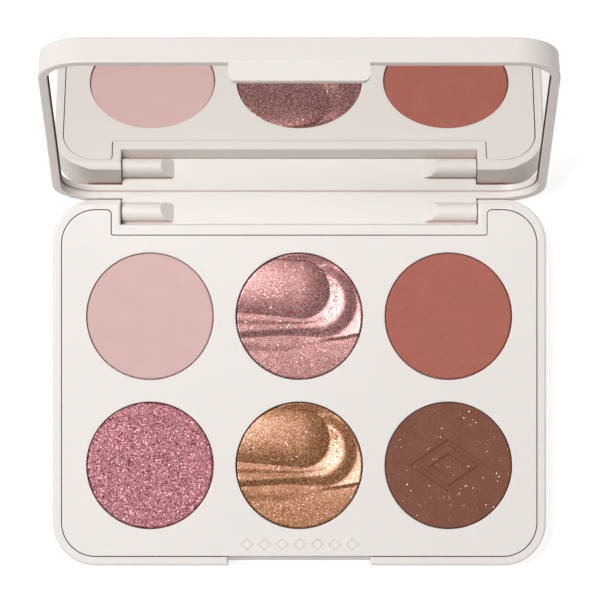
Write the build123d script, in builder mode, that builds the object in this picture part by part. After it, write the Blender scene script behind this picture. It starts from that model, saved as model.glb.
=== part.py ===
"""Pressed powder palette: a flat hinged compact with six round pans and a mirror in its lid.

The base is a tub that carries six metal pans under a flush face plate. The lid is a shallow
dish that holds the mirror. Two short steel pins join the lid's knuckles to the base, in a
notch at the rear. A thumb tab on the lid's front wall snaps into a pocket in the base.

Frame: origin at the centre of the base's underside, +Z up, +Y to the hinge, +X to the right
for a user who faces the mirror. The lid is drawn open, leaning back on its stop.
"""

import os
from math import acos, atan2, cos, degrees, hypot, radians, sin

from build123d import *

os.makedirs("parts", exist_ok=True)

# ---------------------------------------------------------------- driving dimensions, in mm
# Case
case_width = 102.6  # at the parting line
case_depth = 76.1
corner_radius = 9.0
base_height = 8.4
lid_height = 5.6
base_draft = 3.0  # degrees, outer walls of the base
lid_draft = 3.0  # degrees, outer walls of the lid
base_wall = 1.8
rear_extra = 0.25  # the base's rear wall is this much thicker
base_floor = 1.3
lid_wall = 1.75
lid_skin = 1.7
rim_round = 0.45  # outer edge of the base's rim
bottom_round = 2.2  # bottom edge of the base
skin_round = 0.5  # outer edge of the lid's top
lid_rim_round = 0.3
parting_gap = 0.15  # between the two rims when shut

# Hinge
hinge_inset = 2.55  # axis in from the rear face
hinge_drop = 3.15  # axis below the base's rim
notch_width = 74.3
notch_wall = 2.16  # base wall between the notch and the face plate
notch_rise = 1.1  # how far the notch floor climbs from the rear to the front
hinge_side_gap = 0.2  # each end of the flange
hinge_tip_gap = 0.08  # flange tip to the notch's front wall
stop_gap = 0.05  # lid's rear edge to the base's rear face, fully open
swing_lift = 0.15  # the rear edges are round about the axis, this far past the lid's rim
swing_clearance = 0.06
knuckle_radius = 1.95
knuckle_length = 10.8  # along the axis, at the flange
pin_radius = 0.75
pin_clearance = 0.05  # radial, in the knuckle
pin_reach = 7.2  # length of pin inside the knuckle
pin_tail = 0.4  # length of pin proud of the wall, inside the base
pin_chamfer = 0.2

# Face plate over the pans
tray_thickness = 1.4
tray_drop = 0.1  # below the base's rim
tray_gap = 0.15  # all round
tray_edge_round = 0.15
tray_inner_corner = 0.5
tray_outer_corner = 0.9
peg_radius = 1.0
peg_length = 3.4
peg_clearance = 0.05
boss_wall = 1.3

# Pans and powder
pan_pitch = 31.0
pan_grid_y = -1.73  # centre of the two rows
window_diameter = 26.5  # round window in the face plate
pan_lip = 0.35  # pan edge hidden under the face plate
pan_metal = 0.3
pan_height = 2.9
pan_round = 0.7
pan_play = 0.2  # round a pan, inside its collar
plate_seat = 0.05  # between a pan's edge and the face plate
collar_wall = 1.0
glue_thickness = 0.3
glue_outer = 20.0
glue_inner = 11.0
powder_play = 0.15  # round the powder, inside the window
powder_recess = 0.35  # powder surface below the face plate
powder_edge = 0.25
motif_depth = 0.25

# Thumb tab and its pocket
tab_width = 27.65
tab_length = 3.7  # below the lid's rim
tab_thickness = 1.35
tab_corner = 1.4
tab_setback = 0.08  # behind the lid's front face
tab_side_play = 0.95
tab_end_play = 0.2
pocket_depth = 1.74
catch_wall = 1.2
bead_radius = 0.35
bead_length = 16.0
bead_height = 0.8  # above the tab's lower edge
groove_radius = 0.65
scoop_foot = 0.55  # slope below the pocket, in from the case's front edge at its foot

# Mirror
mirror_thickness = 1.8
mirror_gap = 0.25
mirror_bevel = 0.1
mirror_tape = 0.5
tape_inset = 4.0

# Underside label and face plate motif
label_length = 56.0
label_width = 22.0
label_corner = 2.0
label_y = 18.0
label_thickness = 0.12
label_recess = 0.16
label_play = 0.25  # round the label, in its panel
lozenge_count = 7
lozenge_pitch = 3.65
lozenge_length = 3.0
lozenge_height = 2.8
lozenge_line = 0.5  # width of the raised line, across the lozenge's long way
lozenge_relief = 0.2
lozenge_taper = 25.0  # degrees
lozenge_inset = 2.55  # from the face plate's front edge

# ---------------------------------------------------------------- derived sizes and places
half_width = case_width / 2
half_depth = case_depth / 2
axis_y = half_depth - hinge_inset
axis_z = base_height - hinge_drop
lid_rim = hinge_drop + parting_gap  # lid's rim above the axis, in the lid's own frame
swing_radius = lid_rim + swing_lift

notch_front_y = axis_y - hinge_inset - hinge_tip_gap
notch_floor_rear = base_floor
notch_floor_front = base_floor + notch_rise
flange_width = notch_width - 2 * hinge_side_gap

tray_top = base_height - tray_drop
tray_under = tray_top - tray_thickness
tray_inset = base_wall + tray_gap
pan_radius = window_diameter / 2 + pan_lip
pan_bottom = tray_under - plate_seat - pan_height
seat_top = pan_bottom - glue_thickness
collar_inner = pan_radius + pan_play
collar_outer = collar_inner + collar_wall
powder_top = tray_top - powder_recess
powder_bottom = pan_bottom + pan_metal

pocket_width = tab_width + 2 * tab_side_play
pocket_floor = base_height - tab_length - tab_end_play
bead_z = base_height - tab_length + bead_height  # height of the snap bead when shut

pan_spots = {
    f"{row}_{column}": (column_x, pan_grid_y + row_y)
    for row, row_y in (("rear", pan_pitch / 2), ("front", -pan_pitch / 2))
    for column, column_x in (("left", -pan_pitch), ("centre", 0), ("right", pan_pitch))
}
ear_x = (notch_width / 2 + notch_wall + half_width - base_wall) / 2
ear_y = half_depth - tray_inset - 3.4
side_x = half_width - base_wall - peg_radius - boss_wall - 0.9
peg_spots = [
    (-side_x, pan_grid_y),
    (-pan_pitch / 2, pan_grid_y),
    (pan_pitch / 2, pan_grid_y),
    (side_x, pan_grid_y),
    (-ear_x, ear_y),
    (ear_x, ear_y),
]
motif_y = -half_depth + tray_inset + lozenge_inset  # row of raised lozenges

# The stop: the corner of the lid's rear rim swings down to the base's drafted rear face.
rear_draft = radians(base_draft)
corner_reach = hypot(hinge_inset, lid_rim)
face_reach = hinge_inset * cos(rear_draft) - hinge_drop * sin(rear_draft) + stop_gap
lean = atan2(lid_rim, hinge_inset) + rear_draft + acos(face_reach / corner_reach)
open_angle = degrees(lean)
print(f"open angle {open_angle:.3f}, hinge axis at y {axis_y:.3f}, z {axis_z:.3f}")

# The lid's frame: its XY plane holds the hinge axis and is parallel to the lid's rim.
lid_frame = Plane(
    origin=(0, axis_y, axis_z), x_dir=(1, 0, 0), z_dir=(0, sin(lean), cos(lean))
)
lid_centre = (0, -axis_y)
# A cut across the hinge, seen along +X: local X is the lid's rearward, local Y its upward.
lid_section = Plane(origin=lid_frame.origin, x_dir=lid_frame.y_dir, z_dir=(1, 0, 0))
base_section = Plane(origin=(0, axis_y, axis_z), x_dir=(0, 1, 0), z_dir=(1, 0, 0))


def finish_piece(builder, name):
    """Labels a finished piece and writes its STEP file."""
    builder.part.label = name
    export_step(builder.part, f"parts/{name}.step")


def face_outline(inset, ear_corner, notch_corner):
    """Outline this far in from the case's edge, which goes round the walls of the notch."""
    notch_line = notch_front_y - notch_wall - (inset - base_wall)
    with BuildSketch() as outline:
        with Locations((0, -rear_extra / 2)):
            RectangleRounded(
                case_width - 2 * inset,
                case_depth - 2 * inset - rear_extra,
                corner_radius - inset,
            )
        with Locations((0, notch_line)):
            Rectangle(
                notch_width + 2 * inset,
                case_depth,
                align=(Align.CENTER, Align.MIN),
                mode=Mode.SUBTRACT,
            )
        rearmost = outline.vertices().group_by(Axis.Y)[-1]
        fillet(rearmost.sort_by(Axis.X)[1:3], ear_corner)
        fillet([v for v in outline.vertices() if abs(v.Y - notch_line) < 0.01], notch_corner)
    return outline.sketch


# ---------------------------------------------------------------- base shell
with BuildPart() as base_shell:
    # drafted block, widest at the rim
    with BuildSketch(Plane(origin=(0, 0, base_height), z_dir=(0, 0, -1))):
        RectangleRounded(case_width, case_depth, corner_radius)
    extrude(amount=base_height, taper=base_draft)
    fillet(base_shell.faces().sort_by(Axis.Z)[0].edges(), bottom_round)

    # hinge notch, open to the rear and the top
    with BuildSketch(base_section):
        with BuildLine():
            Polyline(
                (notch_front_y - axis_y, notch_floor_front - axis_z),
                (hinge_inset, notch_floor_rear - axis_z),
                (2 * hinge_inset, notch_floor_rear - axis_z),
                (2 * hinge_inset, 2 * hinge_drop),
                (notch_front_y - axis_y, 2 * hinge_drop),
                close=True,
            )
        make_face()
    extrude(amount=notch_width / 2, both=True, mode=Mode.SUBTRACT)

    # tab pocket: the rim is cut away down to the face plate's underside
    with BuildSketch(Plane.XY.offset(tray_under)):
        with Locations((0, -half_depth)):
            Rectangle(pocket_width, 2 * (base_wall + tray_gap))
    extrude(amount=base_height - tray_under, mode=Mode.SUBTRACT)
    with BuildSketch(Plane.XY.offset(pocket_floor)):
        with Locations((0, -half_depth)):
            Rectangle(pocket_width, 2 * pocket_depth)
    extrude(amount=base_height - pocket_floor, mode=Mode.SUBTRACT)
    # steep finger slope from the pocket down to the underside
    with BuildSketch(Plane.YZ):
        with BuildLine():
            Polyline(
                (-half_depth + pocket_depth, pocket_floor),
                (-half_depth + scoop_foot, 0),
                (-case_depth, 0),
                (-case_depth, pocket_floor),
                close=True,
            )
        make_face()
    extrude(amount=pocket_width / 2, both=True, mode=Mode.SUBTRACT)

    fillet(base_shell.faces().sort_by(Axis.Z)[-1].outer_wire().edges(), rim_round)

    # rear edge of the rim, round about the hinge axis so that the lid swings past it
    with BuildSketch(base_section):
        Rectangle(2 * hinge_inset, 2 * hinge_drop, align=(Align.MIN, Align.MIN))
        Circle(swing_radius, mode=Mode.SUBTRACT)
    extrude(amount=half_width, both=True, mode=Mode.SUBTRACT)

    # cavity, which leaves the walls of the notch and the catch wall of the pocket
    with BuildSketch(Plane.XY.offset(base_floor)):
        add(face_outline(base_wall, tray_outer_corner + tray_gap, tray_inner_corner - tray_gap))
        with Locations((0, -half_depth)):
            Rectangle(
                pocket_width + 2 * catch_wall,
                2 * (pocket_depth + catch_wall),
                mode=Mode.SUBTRACT,
            )
    extrude(amount=base_height, mode=Mode.SUBTRACT)
    # seat for the face plate behind the pocket
    with BuildSketch(Plane.XY.offset(tray_under)):
        with Locations((0, -half_depth + base_wall)):
            Rectangle(
                pocket_width + 2 * catch_wall,
                2 * catch_wall,
                align=(Align.CENTER, Align.MIN),
            )
    extrude(amount=base_height, mode=Mode.SUBTRACT)

    # catch groove for the tab's bead
    with BuildSketch(Plane.YZ):
        with Locations((-half_depth + pocket_depth, bead_z)):
            Circle(groove_radius)
    extrude(amount=bead_length / 2 + tab_side_play, both=True, mode=Mode.SUBTRACT)

    # collar and glue seat for each pan
    with BuildSketch(Plane.XY.offset(base_floor)):
        with Locations(*pan_spots.values()):
            Circle(collar_outer)
            Circle(collar_inner, mode=Mode.SUBTRACT)
    extrude(amount=tray_under - base_floor)
    with BuildSketch(Plane.XY.offset(base_floor)):
        with Locations(*pan_spots.values()):
            Circle(glue_outer / 2)
            Circle(glue_inner / 2, mode=Mode.SUBTRACT)
    extrude(amount=seat_top - base_floor)

    # sockets for the face plate's pegs
    with BuildSketch(Plane.XY.offset(base_floor)):
        with Locations(*peg_spots):
            Circle(peg_radius + peg_clearance + boss_wall)
            Circle(peg_radius + peg_clearance, mode=Mode.SUBTRACT)
    extrude(amount=tray_under - base_floor)

    # pin holes through the side walls of the notch
    with BuildSketch(base_section):
        Circle(pin_radius)
    extrude(amount=notch_width / 2 + 2 * base_wall, both=True, mode=Mode.SUBTRACT)

    # shallow panel in the underside for the label
    with BuildSketch(Plane.XY):
        with Locations((0, label_y)):
            RectangleRounded(
                label_length + 2 * label_play, label_width + 2 * label_play, label_corner
            )
    extrude(amount=label_recess, mode=Mode.SUBTRACT)
finish_piece(base_shell, "base_shell")

# ---------------------------------------------------------------- face plate
with BuildPart() as pan_tray:
    with BuildSketch(Plane.XY.offset(tray_under)):
        add(face_outline(tray_inset, tray_outer_corner, tray_inner_corner))
    extrude(amount=tray_thickness)
    with BuildSketch(Plane.XY.offset(tray_under)):
        with Locations(*pan_spots.values()):
            Circle(window_diameter / 2)
    extrude(amount=tray_thickness, mode=Mode.SUBTRACT)
    fillet(pan_tray.faces().sort_by(Axis.Z)[-1].edges(), tray_edge_round)

    # pegs that press into the base's sockets
    with BuildSketch(Plane.XY.offset(tray_under)):
        with Locations(*peg_spots):
            Circle(peg_radius)
    extrude(amount=-peg_length)

    # row of raised lozenges in front of the pans
    with BuildSketch(Plane.XY.offset(tray_top)):
        with Locations((0, motif_y)):
            with GridLocations(lozenge_pitch, 1, lozenge_count, 1):
                for length, mode in (
                    (lozenge_length, Mode.ADD),
                    (lozenge_length - 2 * lozenge_line, Mode.SUBTRACT),
                ):
                    with BuildLine(mode=Mode.PRIVATE) as lozenge:
                        Polyline(
                            (-length / 2, 0),
                            (0, -length / 2 * lozenge_height / lozenge_length),
                            (length / 2, 0),
                            (0, length / 2 * lozenge_height / lozenge_length),
                            close=True,
                        )
                    add(make_face(lozenge.edges(), mode=Mode.PRIVATE), mode=mode)
    extrude(amount=lozenge_relief, taper=lozenge_taper)
finish_piece(pan_tray, "pan_tray")

# ---------------------------------------------------------------- pans, glue and powder
for spot, (pan_x, pan_y) in pan_spots.items():
    with BuildPart() as pan:
        with BuildSketch(Plane.XY.offset(pan_bottom)):
            with Locations((pan_x, pan_y)):
                Circle(pan_radius)
        extrude(amount=pan_height)
        fillet(pan.faces().sort_by(Axis.Z)[0].edges(), pan_round)
        with BuildSketch(Plane.XY.offset(powder_bottom)):
            with Locations((pan_x, pan_y)):
                Circle(pan_radius - pan_metal)
        extrude(amount=pan_height, mode=Mode.SUBTRACT)
    finish_piece(pan, f"pan_{spot}")

    with BuildPart() as glue:
        with BuildSketch(Plane.XY.offset(seat_top)):
            with Locations((pan_x, pan_y)):
                Circle(glue_outer / 2)
                Circle(glue_inner / 2, mode=Mode.SUBTRACT)
        extrude(amount=glue_thickness)
    finish_piece(glue, f"pan_glue_{spot}")

    with BuildPart() as powder:
        with BuildSketch(Plane.XY.offset(powder_bottom)):
            with Locations((pan_x, pan_y)):
                Circle(pan_radius - pan_metal)
        extrude(amount=tray_under - plate_seat - powder_bottom)
        with BuildSketch(Plane.XY.offset(powder_bottom)):
            with Locations((pan_x, pan_y)):
                Circle(window_diameter / 2 - powder_play)
        extrude(amount=powder_top - powder_bottom)
        fillet(powder.faces().sort_by(Axis.Z)[-1].edges(), powder_edge)
        if spot == "front_right":
            # pressed lozenge frame round a smaller lozenge
            with BuildSketch(Plane.XY.offset(powder_top)):
                with Locations((pan_x, pan_y)):
                    for length, mode in (
                        (16.0, Mode.ADD),
                        (12.4, Mode.SUBTRACT),
                        (7.2, Mode.ADD),
                    ):
                        with BuildLine(mode=Mode.PRIVATE) as frame_line:
                            Polyline(
                                (-length / 2, 0),
                                (0, -length * 0.34),
                                (length / 2, 0),
                                (0, length * 0.34),
                                close=True,
                            )
                        add(make_face(frame_line.edges(), mode=Mode.PRIVATE), mode=mode)
            extrude(amount=-motif_depth, mode=Mode.SUBTRACT)
    finish_piece(powder, f"powder_{spot}")

# ---------------------------------------------------------------- hinge pins
for side, sign in (("left", -1), ("right", 1)):
    with BuildPart() as pin:
        inner_end = sign * (flange_width / 2 - pin_reach)
        outer_end = sign * (notch_width / 2 + base_wall + pin_tail)
        with BuildSketch(base_section.offset(inner_end)):
            Circle(pin_radius)
        extrude(amount=outer_end - inner_end)
        chamfer(pin.edges().filter_by(GeomType.CIRCLE), pin_chamfer)
    finish_piece(pin, f"hinge_pin_{side}")

# ---------------------------------------------------------------- underside label
with BuildPart() as base_label:
    with BuildSketch(Plane.XY.offset(label_recess - label_thickness)):
        with Locations((0, label_y)):
            RectangleRounded(label_length, label_width, label_corner)
    extrude(amount=label_thickness)
finish_piece(base_label, "base_label")

# ---------------------------------------------------------------- lid shell
with BuildPart() as lid_shell:
    # drafted dish, widest at the rim
    with BuildSketch(lid_frame.offset(lid_rim)):
        with Locations(lid_centre):
            RectangleRounded(case_width, case_depth, corner_radius)
    extrude(amount=lid_height, taper=lid_draft)
    lid_up = Axis(lid_frame.origin, lid_frame.z_dir)
    fillet(lid_shell.faces().sort_by(lid_up)[-1].edges(), skin_round)
    fillet(lid_shell.faces().sort_by(lid_up)[0].edges(), lid_rim_round)
    with BuildSketch(lid_frame.offset(lid_rim)):
        with Locations(lid_centre):
            RectangleRounded(
                case_width - 2 * lid_wall,
                case_depth - 2 * lid_wall,
                corner_radius - lid_wall,
            )
    extrude(amount=lid_height - lid_skin, mode=Mode.SUBTRACT)
    # cove along the rear rim that lets the base's round edge by
    with BuildSketch(lid_section):
        Circle(swing_radius + swing_clearance)
    extrude(amount=half_width, both=True, mode=Mode.SUBTRACT)

    # flange: the rear wall runs on past the rim, and its tip is round about the axis
    flange_face = hinge_inset - lid_wall
    flange_tip = (flange_face, -((hinge_inset**2 - flange_face**2) ** 0.5))
    with BuildSketch(lid_section):
        with BuildLine():
            Polyline(
                (hinge_inset, 0),
                (hinge_inset, lid_rim + lid_rim_round),
                (flange_face, lid_rim + lid_rim_round),
                flange_tip,
            )
            RadiusArc(flange_tip, (hinge_inset, 0), -hinge_inset)
        make_face()
    extrude(amount=flange_width / 2, both=True)

    # knuckles, each with a slope down to the flange at its inner end
    for sign in (-1, 1):
        with BuildSketch(lid_section.offset(sign * flange_width / 2)):
            Circle(knuckle_radius)
        extrude(amount=-sign * knuckle_length)
        slope_run = knuckle_radius + flange_face
        inner_x = sign * (flange_width / 2 - knuckle_length)
        with BuildSketch(lid_frame.offset(-2 * knuckle_radius)):
            with BuildLine():
                Polyline(
                    (inner_x, flange_face),
                    (inner_x + sign * 2 * slope_run, flange_face - 2 * slope_run),
                    (inner_x - sign * slope_run, flange_face - 2 * slope_run),
                    (inner_x - sign * slope_run, flange_face),
                    close=True,
                )
            make_face()
        extrude(amount=4 * knuckle_radius, mode=Mode.SUBTRACT)
        with BuildSketch(lid_section.offset(sign * flange_width / 2)):
            Circle(pin_radius + pin_clearance)
        extrude(amount=-sign * (pin_reach + pin_tail), mode=Mode.SUBTRACT)

    # thumb tab, just behind the front face, with a snap bead on its inner side
    tab_face = lid_centre[1] - half_depth + tab_setback
    tab_plane = Plane(
        origin=lid_frame.from_local_coords((0, tab_face, lid_rim)),
        x_dir=(1, 0, 0),
        z_dir=-lid_frame.y_dir,
    )
    tab_drop = tab_length + parting_gap
    with BuildSketch(tab_plane) as tab_outline:
        with Locations((0, lid_rim_round)):
            Rectangle(
                tab_width, tab_drop + lid_rim_round, align=(Align.CENTER, Align.MAX)
            )
        fillet(tab_outline.vertices().sort_by(Axis.Y)[:2], tab_corner)
    extrude(amount=-(tab_thickness - tab_setback))
    bead_centre = (
        lid_centre[1] - half_depth + tab_thickness,
        hinge_drop - tab_length + bead_height,
    )
    with BuildSketch(lid_section):
        with Locations(bead_centre):
            Circle(bead_radius)
        with Locations((bead_centre[0] - tab_setback, bead_centre[1])):
            Rectangle(
                4 * bead_radius,
                4 * bead_radius,
                align=(Align.MAX, Align.CENTER),
                mode=Mode.SUBTRACT,
            )
    extrude(amount=bead_length / 2, both=True)
finish_piece(lid_shell, "lid_shell")

# ---------------------------------------------------------------- mirror and its tape
mirror_back = lid_rim + lid_height - lid_skin - mirror_tape
with BuildPart() as mirror:
    with BuildSketch(lid_frame.offset(mirror_back)):
        with Locations(lid_centre):
            RectangleRounded(
                case_width - 2 * (lid_wall + mirror_gap),
                case_depth - 2 * (lid_wall + mirror_gap),
                corner_radius - lid_wall - mirror_gap,
            )
    extrude(amount=-mirror_thickness)
    chamfer(mirror.faces().sort_by(lid_up)[0].edges(), mirror_bevel)
finish_piece(mirror, "mirror")

with BuildPart() as mirror_pad:
    with BuildSketch(lid_frame.offset(mirror_back)):
        with Locations(lid_centre):
            RectangleRounded(
                case_width - 2 * (lid_wall + tape_inset),
                case_depth - 2 * (lid_wall + tape_inset),
                corner_radius - lid_wall - tape_inset / 2,
            )
    extrude(amount=mirror_tape)
finish_piece(mirror_pad, "mirror_tape")
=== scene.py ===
import math
import random

import bpy
from mathutils import Matrix, Vector


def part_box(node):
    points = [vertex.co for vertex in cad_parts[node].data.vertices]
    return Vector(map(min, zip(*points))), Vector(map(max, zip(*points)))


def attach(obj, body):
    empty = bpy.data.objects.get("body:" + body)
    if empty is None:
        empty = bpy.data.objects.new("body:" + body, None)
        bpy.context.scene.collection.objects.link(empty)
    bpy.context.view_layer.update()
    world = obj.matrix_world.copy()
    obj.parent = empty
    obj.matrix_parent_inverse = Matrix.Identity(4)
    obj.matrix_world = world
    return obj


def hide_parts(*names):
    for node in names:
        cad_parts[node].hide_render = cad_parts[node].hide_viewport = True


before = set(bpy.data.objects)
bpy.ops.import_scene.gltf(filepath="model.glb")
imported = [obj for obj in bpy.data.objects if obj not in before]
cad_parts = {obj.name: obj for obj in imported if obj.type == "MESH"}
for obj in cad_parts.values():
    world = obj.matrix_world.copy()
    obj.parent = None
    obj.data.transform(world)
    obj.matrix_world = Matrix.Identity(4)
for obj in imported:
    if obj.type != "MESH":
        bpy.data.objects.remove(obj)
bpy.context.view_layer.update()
mm = 0.001
print("frame loaded:", len(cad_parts), "nodes")


# Small helpers

def toLinear(code):  # colours are written as sRGB hex
    parts = [int(code[i:i + 2], 16) / 255 for i in (1, 3, 5)]
    linear = [c / 12.92 if c <= 0.04045 else ((c + 0.055) / 1.055) ** 2.4 for c in parts]
    return (*linear, 1.0)


def perMetre(size):  # a pattern's scale, from the size of one of its grains in mm
    return 1 / (size * mm)


def perThread(size):  # the wave texture's own scale, from the thread spacing in mm
    return perMetre(size) * math.pi / 10


def addNode(tree, kind, settings=None, links=None):
    node = tree.nodes.new(kind)
    for key, value in (settings or {}).items():
        if isinstance(key, int) or key in node.inputs:
            node.inputs[key].default_value = value
        else:
            setattr(node, key, value)
    for socket, source in (links or {}).items():
        tree.links.new(source, node.inputs[socket])
    return node


def newMaterial(name, settings):
    material = bpy.data.materials.new(name)
    material.use_nodes = True
    tree = material.node_tree
    tree.nodes.clear()
    shader = addNode(tree, "ShaderNodeBsdfPrincipled", settings)
    addNode(tree, "ShaderNodeOutputMaterial", {}, {"Surface": shader.outputs["BSDF"]})
    place = addNode(tree, "ShaderNodeTexCoord").outputs["Object"]
    return material, tree, shader, place


def mixColors(tree, factor, first, second):
    mix = addNode(tree, "ShaderNodeMix", {"data_type": "RGBA"})
    tree.links.new(factor, mix.inputs["Factor"])
    for socket, color in ((6, first), (7, second)):
        if isinstance(color, str):
            mix.inputs[socket].default_value = toLinear(color)
        else:
            tree.links.new(color, mix.inputs[socket])
    return mix.outputs[2]


def deselectAll():
    bpy.ops.object.select_all(action="DESELECT")


def dress(nodeName, material):
    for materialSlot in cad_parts[nodeName].material_slots:
        materialSlot.material = material


# Camera: straight down over the base, from about a metre, with a long lens

cameraPlace = {
    "x": 0.16 * mm, "y": 17.14 * mm, "aboveRim": 1000 * mm,
    "lens": 288.8, "filmWidth": 36,  # both in mm
    "nearest": 0.05,                 # m
}


def makeCamera():
    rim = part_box("base_shell")[1][2]
    bpy.ops.object.camera_add(
        location=(cameraPlace["x"], cameraPlace["y"], rim + cameraPlace["aboveRim"]),
        rotation=(0, 0, 0),
    )
    camera = bpy.context.object
    camera.data.lens = cameraPlace["lens"]
    camera.data.sensor_width = cameraPlace["filmWidth"]
    camera.data.clip_start = cameraPlace["nearest"]
    bpy.context.scene.camera = camera


makeCamera()
print("camera placed")


# Plastics and metals

moulding = {
    "soak": 0.15, "soakDepth": 0.8,             # share of the light that sinks in, and mm
    "soakSpread": (1.0, 0.4, 0.26),             # how far red, green and blue go in it
    "flowMark": 22,                             # mm, the size of its faint clouds
    # painted shade: a warm brown put into the colour where a point is closed in by near walls, as
    # in narrow seams
    "paintedSeamShade": "#B04A30", "paintedShadeReach": 0.7,   # mm from a seam's wall
    "paintedShadeClosed": 0.2, "paintedShadeOpen": 0.72,        # shares of open air about a point
    "skinBump": 0.05, "skinDepth": 0.02,        # mm
}


def mouldedAbs(name, paleColor, deepColor, roughness, grain):
    # ABS, injection moulded in a polished tool: an even warm white with a soft broad gloss.
    # Some light soaks through its thin edges, and a warm brown painted shade is mixed into its
    # colour in narrow seams and creases.
    material, tree, shader, place = newMaterial(name, {
        "Roughness": roughness, "IOR": 1.54, "Subsurface Weight": moulding["soak"],
        "Subsurface Radius": moulding["soakSpread"],
        "Subsurface Scale": moulding["soakDepth"] * mm,
    })
    cloud = addNode(tree, "ShaderNodeTexNoise", {
        "Scale": perMetre(moulding["flowMark"]), "Detail": 2.0,
    }, {"Vector": place})
    bare = mixColors(tree, cloud.outputs["Fac"], paleColor, deepColor)
    # painted shade: where the ambient occlusion finds near walls, the colour turns to the warm
    # brown seam shade
    openness = addNode(tree, "ShaderNodeAmbientOcclusion", {
        "Distance": moulding["paintedShadeReach"] * mm, "samples": 6,
    })
    clear = addNode(tree, "ShaderNodeMapRange", {
        "From Min": moulding["paintedShadeClosed"], "From Max": moulding["paintedShadeOpen"],
    }, {"Value": openness.outputs["AO"]})
    tree.links.new(
        mixColors(tree, clear.outputs["Result"], moulding["paintedSeamShade"], bare),
        shader.inputs["Base Color"],
    )
    skin = addNode(tree, "ShaderNodeTexNoise", {"Scale": perMetre(grain), "Detail": 3.0}, {
        "Vector": place,
    })
    bump = addNode(tree, "ShaderNodeBump", {
        "Strength": moulding["skinBump"], "Distance": moulding["skinDepth"] * mm,
    }, {"Height": skin.outputs["Fac"]})
    tree.links.new(bump.outputs["Normal"], shader.inputs["Normal"])
    return material


silvering = {
    "color": "#F5F4F1", "smudge": 9,                        # mm
    "smudgeFrom": 0.45, "smudgeTo": 0.8, "dullest": 0.035,
}


def silveredGlass():
    # Float glass silvered behind: a near perfect reflection, a trace warm, with faint marks
    # where it was handled
    material, tree, shader, place = newMaterial("silveredFloatGlass", {
        "Base Color": toLinear(silvering["color"]), "Metallic": 1.0,
    })
    smudge = addNode(tree, "ShaderNodeTexNoise", {
        "Scale": perMetre(silvering["smudge"]), "Detail": 4.0,
    }, {"Vector": place})
    film = addNode(tree, "ShaderNodeMapRange", {
        "From Min": silvering["smudgeFrom"], "From Max": silvering["smudgeTo"],
        "To Min": 0.0, "To Max": silvering["dullest"],
    }, {"Value": smudge.outputs["Fac"]})
    tree.links.new(film.outputs["Result"], shader.inputs["Roughness"])
    return material


glossSpread = 0.08  # how far a metal's roughness strays either way


def metalSheet(name, color, roughness, grain):
    # Bare drawn metal: grey, with fine streaks that vary its gloss
    material, tree, shader, place = newMaterial(name, {
        "Base Color": toLinear(color), "Metallic": 1.0,
    })
    streak = addNode(tree, "ShaderNodeTexNoise", {"Scale": perMetre(grain), "Detail": 4.0}, {
        "Vector": place,
    })
    gloss = addNode(tree, "ShaderNodeMapRange", {
        "To Min": roughness - glossSpread, "To Max": roughness + glossSpread,
    }, {"Value": streak.outputs["Fac"]})
    tree.links.new(gloss.outputs["Result"], shader.inputs["Roughness"])
    return material


def softFilm(name, paleColor, deepColor, roughness, grain, depth):
    # Label film, foam tape or set glue: a dull skin over small cells
    material, tree, shader, place = newMaterial(name, {
        "Roughness": roughness, "IOR": 1.48,
    })
    cells = addNode(tree, "ShaderNodeTexVoronoi", {"Scale": perMetre(grain)}, {
        "Vector": place,
    })
    tree.links.new(
        mixColors(tree, cells.outputs["Distance"], paleColor, deepColor),
        shader.inputs["Base Color"],
    )
    bump = addNode(tree, "ShaderNodeBump", {"Strength": 0.3, "Distance": depth * mm}, {
        "Height": cells.outputs["Distance"],
    })
    tree.links.new(bump.outputs["Normal"], shader.inputs["Normal"])
    return material


# each with its colours, its roughness and the size of its grain in mm
caseAbs = mouldedAbs("mouldedAbsCase", "#F1ECE8", "#EEE8E4", 0.34, 0.5)
trayAbs = mouldedAbs("mouldedAbsTray", "#F0EBE7", "#EDE7E3", 0.38, 0.4)
mirrorGlass = silveredGlass()
pinSteel = metalSheet("drawnSteelWire", "#B9B8B4", 0.3, 0.3)
tinplate = metalSheet("pressedTinplate", "#CFCEC9", 0.28, 1.5)
labelFilm = softFilm("coatedLabelFilm", "#F4F2EE", "#EFECE7", 0.45, 0.35, 0.004)
foamTape = softFilm("closedCellFoamTape", "#E9E7E2", "#D5D2CC", 0.8, 0.3, 0.05)
panGlue = softFilm("setHotMeltGlue", "#E6DFC9", "#DCD3B8", 0.35, 1.2, 0.08)
powderSpots = [
    f"{row}_{column}"
    for row in ("rear", "front")
    for column in ("left", "centre", "right")
]
for part, finish in (
    ("base_shell", caseAbs),
    ("lid_shell", caseAbs),
    ("pan_tray", trayAbs),
    ("mirror", mirrorGlass),
    ("hinge_pin_left", pinSteel),
    ("hinge_pin_right", pinSteel),
    ("base_label", labelFilm),
    ("mirror_tape", foamTape),
):
    dress(part, finish)
for spot in powderSpots:
    dress(f"pan_{spot}", tinplate)
    dress(f"pan_glue_{spot}", panGlue)
print("case dressed")


# Powders: pigments pressed into their pans

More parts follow.
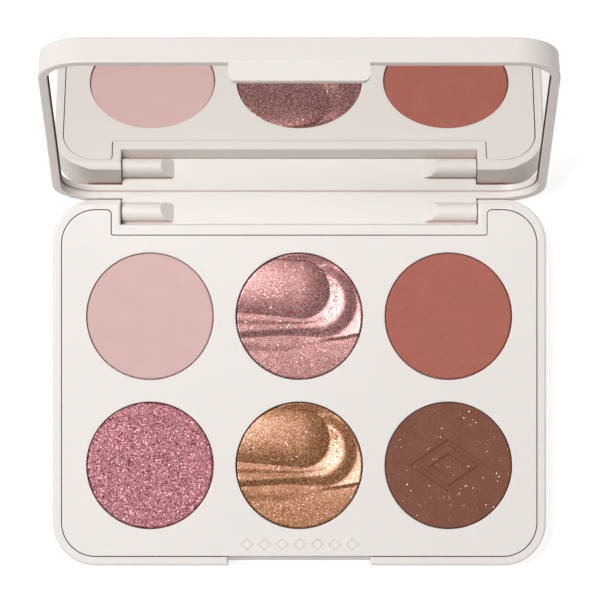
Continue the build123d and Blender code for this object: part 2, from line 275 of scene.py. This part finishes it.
def grainNormal(tree, place, size, tilt):
    # each grain of mica leans its own way, so the normal changes from cell to cell
    cells = addNode(tree, "ShaderNodeTexVoronoi", {"Scale": perMetre(size)}, {
        "Vector": place,
    })
    lean = addNode(tree, "ShaderNodeVectorMath", {"operation": "SUBTRACT", 1: (0.5,) * 3}, {
        0: cells.outputs["Color"],
    })
    lean = addNode(tree, "ShaderNodeVectorMath", {"operation": "SCALE", "Scale": tilt}, {
        0: lean.outputs["Vector"],
    })
    upright = addNode(tree, "ShaderNodeNewGeometry").outputs["Normal"]
    leaning = addNode(tree, "ShaderNodeVectorMath", {"operation": "ADD"}, {
        0: upright, 1: lean.outputs["Vector"],
    })
    normal = addNode(tree, "ShaderNodeVectorMath", {"operation": "NORMALIZE"}, {
        0: leaning.outputs["Vector"],
    })
    return normal.outputs["Vector"], cells.outputs["Color"]


talc = {
    "mottle": 4, "speck": 0.35, "dentDepth": 0.04,       # mm
    "darkest": 0.3, "palest": 0.7,
    "threadTurn": 38, "threadWobble": 0.6, "threadFluff": 0.4,
}


def matteTalc(name, look):
    # Talc and iron oxide pressed dry: dead matt, faintly mottled, with a fine press grain
    material, tree, shader, place = newMaterial(name, {
        "Roughness": look["roughness"], "IOR": 1.45, "Specular IOR Level": 0.3,
        "Sheen Weight": 0.15, "Sheen Roughness": 0.6,
    })
    cloud = addNode(tree, "ShaderNodeTexNoise", {
        "Scale": perMetre(talc["mottle"]), "Detail": 4.0,
    }, {"Vector": place})
    speck = addNode(tree, "ShaderNodeTexNoise", {
        "Scale": perMetre(talc["speck"]), "Detail": 2.0,
    }, {"Vector": place})
    tone = addNode(tree, "ShaderNodeMath", {"operation": "MULTIPLY_ADD", 1: 0.5}, {
        0: cloud.outputs["Fac"],
    })
    half = addNode(tree, "ShaderNodeMath", {"operation": "MULTIPLY", 1: 0.5}, {
        0: speck.outputs["Fac"],
    })
    tree.links.new(half.outputs["Value"], tone.inputs[2])
    spread = addNode(tree, "ShaderNodeMapRange", {
        "From Min": talc["darkest"], "From Max": talc["palest"],
    }, {"Value": tone.outputs["Value"]})
    color = mixColors(tree, spread.outputs["Result"], look["dark"], look["light"])
    height = speck.outputs["Fac"]
    if look["weave"]:  # the cloth that the press lays over the powder leaves its twill
        turned = addNode(tree, "ShaderNodeMapping", {
            "Rotation": (0, 0, math.radians(talc["threadTurn"])),
        }, {"Vector": place})
        threads = []
        for direction in ("X", "Y"):
            wave = addNode(tree, "ShaderNodeTexWave", {
                "bands_direction": direction, "Scale": perThread(look["weave"]),
                "Distortion": talc["threadWobble"], "Detail": 1.0,
                "Detail Scale": talc["threadFluff"],
            }, {"Vector": turned.outputs["Vector"]})
            threads.append(wave.outputs["Fac"])
        cloth = addNode(tree, "ShaderNodeMath", {"operation": "MULTIPLY"}, {
            0: threads[0], 1: threads[1],
        })
        color = mixColors(tree, cloth.outputs["Value"], color, look["thread"])
        height = addNode(tree, "ShaderNodeMath", {"operation": "ADD"}, {
            0: cloth.outputs["Value"], 1: height,
        }).outputs["Value"]
    tree.links.new(color, shader.inputs["Base Color"])
    bump = addNode(tree, "ShaderNodeBump", {
        "Strength": look["bump"], "Distance": talc["dentDepth"] * mm,
    }, {"Height": height})
    tree.links.new(bump.outputs["Normal"], shader.inputs["Normal"])
    return material


def pearlMica(name, look):
    # Coated mica in a silicone binder: a deep coloured base under a glossy film of bright
    # plates, so it glints near white where it faces the light and falls off to a rich shade
    material, tree, shader, place = newMaterial(name, {
        "Metallic": look["metallic"], "Roughness": look["roughness"],
        "Coat Weight": look["coat"], "Coat Roughness": look["coatRoughness"], "Coat IOR": 2.0,
    })
    normal, cellColor = grainNormal(tree, place, look["grain"], look["tilt"])
    tree.links.new(normal, shader.inputs["Normal"])
    tree.links.new(normal, shader.inputs["Coat Normal"])
    split = addNode(tree, "ShaderNodeSeparateColor", {}, {"Color": cellColor})
    pale = addNode(tree, "ShaderNodeMapRange", {"From Min": look["paleFrom"], "From Max": 1.0}, {
        "Value": split.outputs["Red"],
    })
    color = mixColors(tree, pale.outputs["Result"], look["dark"], look["light"])
    tree.links.new(color, shader.inputs["Base Color"])
    return material


# sizes in mm, leans in degrees; a flake is a plate of cut film
creamFinish = {
    "make": pearlMica, "paleFrom": 0.5, "metallic": 0.65, "roughness": 0.42,
    "coat": 0.55, "coatRoughness": 0.26, "grain": 0.17, "tilt": 0.22,
    "flakes": 900, "flakeSize": 0.05, "flakeLean": 12,
}
powderLooks = {
    "rear_left": {
        "make": matteTalc, "dark": "#DAB8B3", "light": "#E2BEB9",
        "roughness": 0.75, "weave": 0, "bump": 0.12, "flakes": 0,
    },
    "rear_centre": {
        **creamFinish, "dark": "#944A4C", "light": "#E8C6BC", "flake": "#F3D5CB",
    },
    "rear_right": {
        "make": matteTalc, "dark": "#A65D51", "light": "#B46A5C", "thread": "#BD7263",
        "roughness": 0.8, "weave": 0.44, "bump": 0.4, "flakes": 0,
    },
    "front_left": {
        "make": pearlMica, "dark": "#781F31", "light": "#FFB2B9", "paleFrom": 0.05,
        "metallic": 0.55, "roughness": 0.44, "coat": 0.3, "coatRoughness": 0.3,
        "grain": 0.24, "tilt": 0.9,
        "flakes": 500, "flake": "#D88894", "flakeSize": 0.055, "flakeLean": 20,
    },
    "front_centre": {
        **creamFinish, "dark": "#8A4210", "light": "#ECBE84", "flake": "#F0D0A4",
    },
    "front_right": {
        "make": matteTalc, "dark": "#784634", "light": "#8A5745",
        "roughness": 0.7, "weave": 0, "bump": 0.25,
        "flakes": 900, "flake": "#DFA484", "flakeSize": 0.042, "flakeLean": 17,
    },
}


# Relief of each powder: height in mm over its flat, at a place in the pan of radius 1

def smoothStep(low, high, value):
    t = min(1, max(0, (value - low) / (high - low)))
    return t * t * (3 - 2 * t)


# The two shimmer creams are laid as a folded ribbon: a long dome with its round end to the
# right, a fold that wraps that end, and a slope below them with a thin lip over its right half
swirl = {
    "domeX": 0.02, "domeY": 0.42, "domeRadius": 0.46, "domeTop": 0.24, "domeFoot": -0.58,
    "domeCurve": 2.4, "domeTilt": 0.10, "domeDroop": 0.62,
    "foldX": 0.33, "foldY": 0.24, "foldRadius": 0.40, "foldTilt": 0.06,
    "foldRise": 2.3,    # mm for each pan radius of the fold's width
    "foldRipple": 0.035,
    "rightFrom": -0.3, "rightTo": 0.5,      # where the fold grows from narrow to wide
    "droopFrom": -0.45, "droopTo": 0.3,
    "fallDepth": 0.5, "fallNarrow": 0.12, "fallWide": 0.21,
    "wedgeRise": 3.0, "wedgeFrom": 0.8, "wedgePower": 1.3,
    "lipStart": 0.1, "lipLow": -0.36, "lipCurl": 0.14, "lipWidth": 0.06, "lipSoften": 0.16,
    "fieldLow": -0.78, "fieldRise": 0.32, "fieldWidth": 0.15, "fieldFall": 0.4,
}


def swirlRelief(x, y):
    domeLine = swirl["domeY"] - swirl["domeTilt"] * min(x, 0)
    foldLine = swirl["foldY"] + swirl["foldTilt"] * min(x - swirl["foldX"], 0)
    domeAway = math.hypot(max(x - swirl["domeX"], 0), y - domeLine)
    foldAway = math.hypot(max(x - swirl["foldX"], 0), y - foldLine)
    outDome = domeAway - swirl["domeRadius"]
    outFold = foldAway - swirl["foldRadius"]
    foot = swirl["domeFoot"]
    rightward = smoothStep(swirl["rightFrom"], swirl["rightTo"], x)
    if outDome < 0:
        rise = 1 - (domeAway / swirl["domeRadius"]) ** swirl["domeCurve"]
        above = foot + (swirl["domeTop"] - foot) * rise
    else:
        width = max(outDome - outFold, 0)
        crest = foot + swirl["foldRise"] * width
        if outFold < 0:
            share = outDome / width
            above = foot + (crest - foot) * (1 - math.cos(math.pi * share)) / 2
            above += swirl["foldRipple"] * (1 - rightward) * math.sin(4 * math.pi * share)
        else:
            fallWidth = swirl["fallNarrow"]
            fallWidth += (swirl["fallWide"] - swirl["fallNarrow"]) * rightward
            above = crest - swirl["fallDepth"] * smoothStep(0, fallWidth, outFold)
            pastFall = max(outFold - swirl["wedgeFrom"] * fallWidth, 0)
            above += swirl["wedgeRise"] * pastFall ** swirl["wedgePower"]
    droop = smoothStep(swirl["droopFrom"], swirl["droopTo"], y - domeLine)
    above -= swirl["domeDroop"] * min(x, 0) ** 2 * droop
    lipLine = swirl["lipLow"] + swirl["lipCurl"] * max(x - swirl["lipStart"], 0) ** 2
    under = lipLine - y
    if under <= 0:
        return above
    field = swirl["fieldLow"] + swirl["fieldRise"] * (1 - math.exp(-under / swirl["fieldWidth"]))
    field -= swirl["fieldFall"] * under * under
    blend = smoothStep(0, swirl["lipWidth"] + swirl["lipSoften"] * (1 - rightward), under)
    return above + (field - above) * blend


# A pressed lozenge frame round a smaller lozenge
lozenge = {
    "outer": 0.61, "inner": 0.47, "centre": 0.275, "slope": 0.68, "depth": 0.42, "wall": 0.014,
}


def lozengeRelief(x, y):
    reach = abs(x) + abs(y) / lozenge["slope"]
    wall = lozenge["wall"]
    sunk = smoothStep(-wall, wall, lozenge["outer"] - reach)
    sunk -= smoothStep(-wall, wall, lozenge["inner"] - reach)
    sunk += smoothStep(-wall, wall, lozenge["centre"] - reach)
    return -lozenge["depth"] * sunk


flatCrown = 0.03                        # mm
heap = {"height": 0.03, "sink": 0.02}   # mm


def flatRelief(x, y):
    return flatCrown * (1 - x * x - y * y)


def heapRelief(x, y):
    broad = math.sin(5.1 * x + 1.3) * math.sin(4.3 * y - 0.4)
    wobble = broad + 0.5 * math.sin(9.7 * x * y + 2.0)
    return heap["height"] * wobble - heap["sink"]


powderForm = {
    "window": 26.5,    # mm across
    "play": 0.15,      # mm between the powder and the window's edge
    "edgeRound": 0.3,  # mm
    "coarse": 90,      # squares across a flat powder
    "fine": 180,       # squares across a shaped powder
    "crisp": 230,      # squares across a powder with a sharp motif
    "sharpFrom": 50,   # degrees, the least angle that stays an edge
}
powderReliefs = {
    "rear_left": (flatRelief, "coarse"),
    "rear_centre": (swirlRelief, "fine"),
    "rear_right": (flatRelief, "coarse"),
    "front_left": (heapRelief, "coarse"),
    "front_centre": (swirlRelief, "fine"),
    "front_right": (lozengeRelief, "crisp"),
}


def powderPlace(spot):
    low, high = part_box(f"powder_{spot}")
    centre = Vector(((low[0] + high[0]) / 2, (low[1] + high[1]) / 2, high[2]))
    return centre, low[2]


powderRadius = (powderForm["window"] / 2 - powderForm["play"]) * mm


def surfaceHeight(spot, x, y):  # at a place in a pan of radius 1, with its edge rounded off
    relief, _ = powderReliefs[spot]
    edge = powderForm["edgeRound"] * mm / powderRadius
    out = max(0, math.hypot(x, y) - (1 - edge)) / edge
    fall = powderForm["edgeRound"] * (1 - math.sqrt(max(0, 1 - min(out, 1) ** 2)))
    return (relief(x, y) - fall) * mm


def pressPowder(spot, material):
    _, detail = powderReliefs[spot]
    centre, bottom = powderPlace(spot)
    deselectAll()
    cells = powderForm[detail]
    bpy.ops.mesh.primitive_grid_add(x_subdivisions=cells, y_subdivisions=cells, size=2)
    powder = bpy.context.object
    powder.name = f"pressed_{spot}"
    for vertex in powder.data.vertices:
        x, y, _ = vertex.co
        u = x * math.sqrt(1 - y * y / 2)  # a square sheet drawn out to a round one
        v = y * math.sqrt(1 - x * x / 2)
        vertex.co = (
            centre.x + powderRadius * u,
            centre.y + powderRadius * v,
            centre.z + surfaceHeight(spot, u, v),
        )
    bpy.ops.object.mode_set(mode="EDIT")
    bpy.ops.mesh.select_mode(type="EDGE")
    bpy.ops.mesh.select_all(action="DESELECT")
    bpy.ops.mesh.select_non_manifold()
    bpy.ops.mesh.extrude_region_move(TRANSFORM_OT_translate={"value": (0, 0, -0.5 * mm)})
    bpy.ops.object.mode_set(mode="OBJECT")
    for vertex in powder.data.vertices:
        if vertex.select:  # the new rim goes down to the pan
            vertex.co.z = bottom
    bpy.ops.object.mode_set(mode="EDIT")
    bpy.ops.mesh.edge_face_add()
    bpy.ops.mesh.select_all(action="SELECT")
    bpy.ops.mesh.normals_make_consistent(inside=False)
    bpy.ops.object.mode_set(mode="OBJECT")
    bpy.ops.object.shade_smooth_by_angle(angle=math.radians(powderForm["sharpFrom"]))
    powder.data.materials.append(material)
    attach(powder, "base")
    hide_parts(f"powder_{spot}")
    return powder


# Glitter: thin plates of coated film, half sunk in the powder at odd tilts

flakeForm = {
    "thickness": 0.02,   # mm
    "spread": 0.35,      # how far the sizes stray either way
    "reach": 0.975,      # share of the powder's radius that they cover
    "probe": 0.01,       # step over which the powder's slope is felt
    "tintPatch": 0.5,    # mm
    "palest": "#FFF6F0",
}


def glitterFinish(name, color):
    # Metallised film cut to hexagons: each plate is a small sharp mirror of its own tint
    material, tree, shader, place = newMaterial(name, {
        "Metallic": 1.0, "Roughness": 0.25,
    })
    cells = addNode(tree, "ShaderNodeTexVoronoi", {
        "Scale": perMetre(flakeForm["tintPatch"]),
    }, {"Vector": place})
    split = addNode(tree, "ShaderNodeSeparateColor", {}, {"Color": cells.outputs["Color"]})
    tree.links.new(
        mixColors(tree, split.outputs["Green"], color, flakeForm["palest"]),
        shader.inputs["Base Color"],
    )
    return material


def scatterFlakes(spot, look, material):
    centre, _ = powderPlace(spot)
    draw = random.Random(f"flakes {spot}")
    deselectAll()
    bpy.ops.mesh.primitive_cylinder_add(
        vertices=6, radius=look["flakeSize"] * mm, depth=flakeForm["thickness"] * mm,
    )
    flake = bpy.context.object
    corners = [v.co.copy() for v in flake.data.vertices]
    sides = [tuple(p.vertices) for p in flake.data.polygons]
    points, faces = [], []
    for _ in range(look["flakes"]):
        away = flakeForm["reach"] * math.sqrt(draw.random())
        around = draw.uniform(0, 2 * math.pi)
        u, v = away * math.cos(around), away * math.sin(around)
        step = flakeForm["probe"]
        rise = surfaceHeight(spot, u, v)
        slopeX = (surfaceHeight(spot, u + step, v) - rise) / (step * powderRadius)
        slopeY = (surfaceHeight(spot, u, v + step) - rise) / (step * powderRadius)
        lean = math.radians(draw.gauss(0, look["flakeLean"]))
        turn = Matrix.Rotation(draw.uniform(0, 2 * math.pi), 3, "Z")
        tip = Vector((-slopeX, -slopeY, 1)).to_track_quat("Z", "Y").to_matrix()
        pose = tip @ turn @ Matrix.Rotation(lean, 3, "X")
        size = draw.uniform(1 - flakeForm["spread"], 1 + flakeForm["spread"])
        spotPlace = centre + Vector((powderRadius * u, powderRadius * v, rise))
        first = len(points)
        points += [spotPlace + pose @ (corner * size) for corner in corners]
        faces += [tuple(first + i for i in side) for side in sides]
    flake.data.clear_geometry()
    flake.data.from_pydata(points, [], faces)
    flake.data.update()
    flake.name = f"glitter_{spot}"
    flake.data.materials.clear()
    flake.data.materials.append(material)
    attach(flake, "base")
    return flake


for spot in powderSpots:
    look = powderLooks[spot]
    pressPowder(spot, look["make"](f"{look['make'].__name__}_{spot}", look))
    if look["flakes"]:
        scatterFlakes(spot, look, glitterFinish(f"cutFilm_{spot}", look["flake"]))
    print("pressed", spot)


# Studio: a pale floor, a soft panel high at the upper left, and a sky that is dim overhead

studio = {
    "floorSize": 8.0,                        # m
    "floorColor": "#C4C4C4", "floorLift": 0.78,
    "keyPlace": (-0.54, 0.27, 1.45), "keySize": 0.56,   # m
    "keyPower": 17.5,                        # W
    "skyZenith": 0.28,
    "skyHorizon": 0.37, "skyReach": 0.8,     # for the light, and how high it fades out
    "skySeen": 1.0, "seenReach": 0.35,       # for the background that is looked at
    "wallTint": "#FFE0CC", "wallReach": 0.5,
}


def makeFloor():
    deselectAll()
    bpy.ops.mesh.primitive_plane_add(size=studio["floorSize"], location=(0, 0, 0))
    floor = bpy.context.object
    floor.name = "floor"
    material, tree, shader, _ = newMaterial("paintedBoard", {
        "Base Color": toLinear(studio["floorColor"]), "Roughness": 0.8,
        "Emission Color": (1, 1, 1, 1),
    })
    lift = addNode(tree, "ShaderNodeMath", {"operation": "MULTIPLY", 1: studio["floorLift"]}, {
        0: seenRays(tree),
    })
    tree.links.new(lift.outputs["Value"], shader.inputs["Emission Strength"])
    floor.data.materials.append(material)


def seenRays(tree):  # 1 where the background is looked at, straight, in a mirror or through glass
    lightPath = addNode(tree, "ShaderNodeLightPath")
    seen = addNode(tree, "ShaderNodeMath", {"operation": "MAXIMUM"}, {
        0: lightPath.outputs["Is Camera Ray"], 1: lightPath.outputs["Is Glossy Ray"],
    })
    return addNode(tree, "ShaderNodeMath", {"operation": "MAXIMUM"}, {
        0: seen.outputs["Value"], 1: lightPath.outputs["Is Transmission Ray"],
    }).outputs["Value"]


def makeSky():
    world = bpy.data.worlds.new("studioSky")
    world.use_nodes = True
    bpy.context.scene.world = world
    tree = world.node_tree
    tree.nodes.clear()
    place = addNode(tree, "ShaderNodeTexCoord").outputs["Generated"]
    axes = addNode(tree, "ShaderNodeSeparateXYZ", {}, {"Vector": place})
    levels = []
    for horizon, reach in (
        (studio["skyHorizon"], studio["skyReach"]), (studio["skySeen"], studio["seenReach"]),
    ):
        levels.append(addNode(tree, "ShaderNodeMapRange", {
            "From Min": 0.0, "From Max": reach,
            "To Min": horizon, "To Max": studio["skyZenith"],
        }, {"Value": axes.outputs["Z"]}).outputs["Result"])
    strength = addNode(tree, "ShaderNodeMix", {"data_type": "FLOAT"}, {
        0: seenRays(tree), 2: levels[0], 3: levels[1],
    })
    # warm light comes from the room's walls only
    height = addNode(tree, "ShaderNodeMapRange", {"From Max": studio["wallReach"]}, {
        "Value": axes.outputs["Z"],
    })
    white = addNode(tree, "ShaderNodeMath", {"operation": "MAXIMUM"}, {
        0: height.outputs["Result"], 1: seenRays(tree),
    })
    tint = addNode(tree, "ShaderNodeMix", {
        "data_type": "RGBA", 6: toLinear(studio["wallTint"]), 7: (1, 1, 1, 1),
    }, {0: white.outputs["Value"]})
    sky = addNode(tree, "ShaderNodeBackground", {}, {
        "Color": tint.outputs[2], "Strength": strength.outputs[0],
    })
    addNode(tree, "ShaderNodeOutputWorld", {}, {"Surface": sky.outputs["Background"]})


def makeKey():
    bpy.ops.object.light_add(type="AREA", location=studio["keyPlace"])
    key = bpy.context.object
    key.data.size = studio["keySize"]
    key.data.energy = studio["keyPower"]
    key.rotation_euler = Vector(studio["keyPlace"]).to_track_quat("Z", "Y").to_euler()


makeFloor()
makeSky()
makeKey()
bpy.context.scene.view_settings.view_transform = "Standard"
print("studio lit")
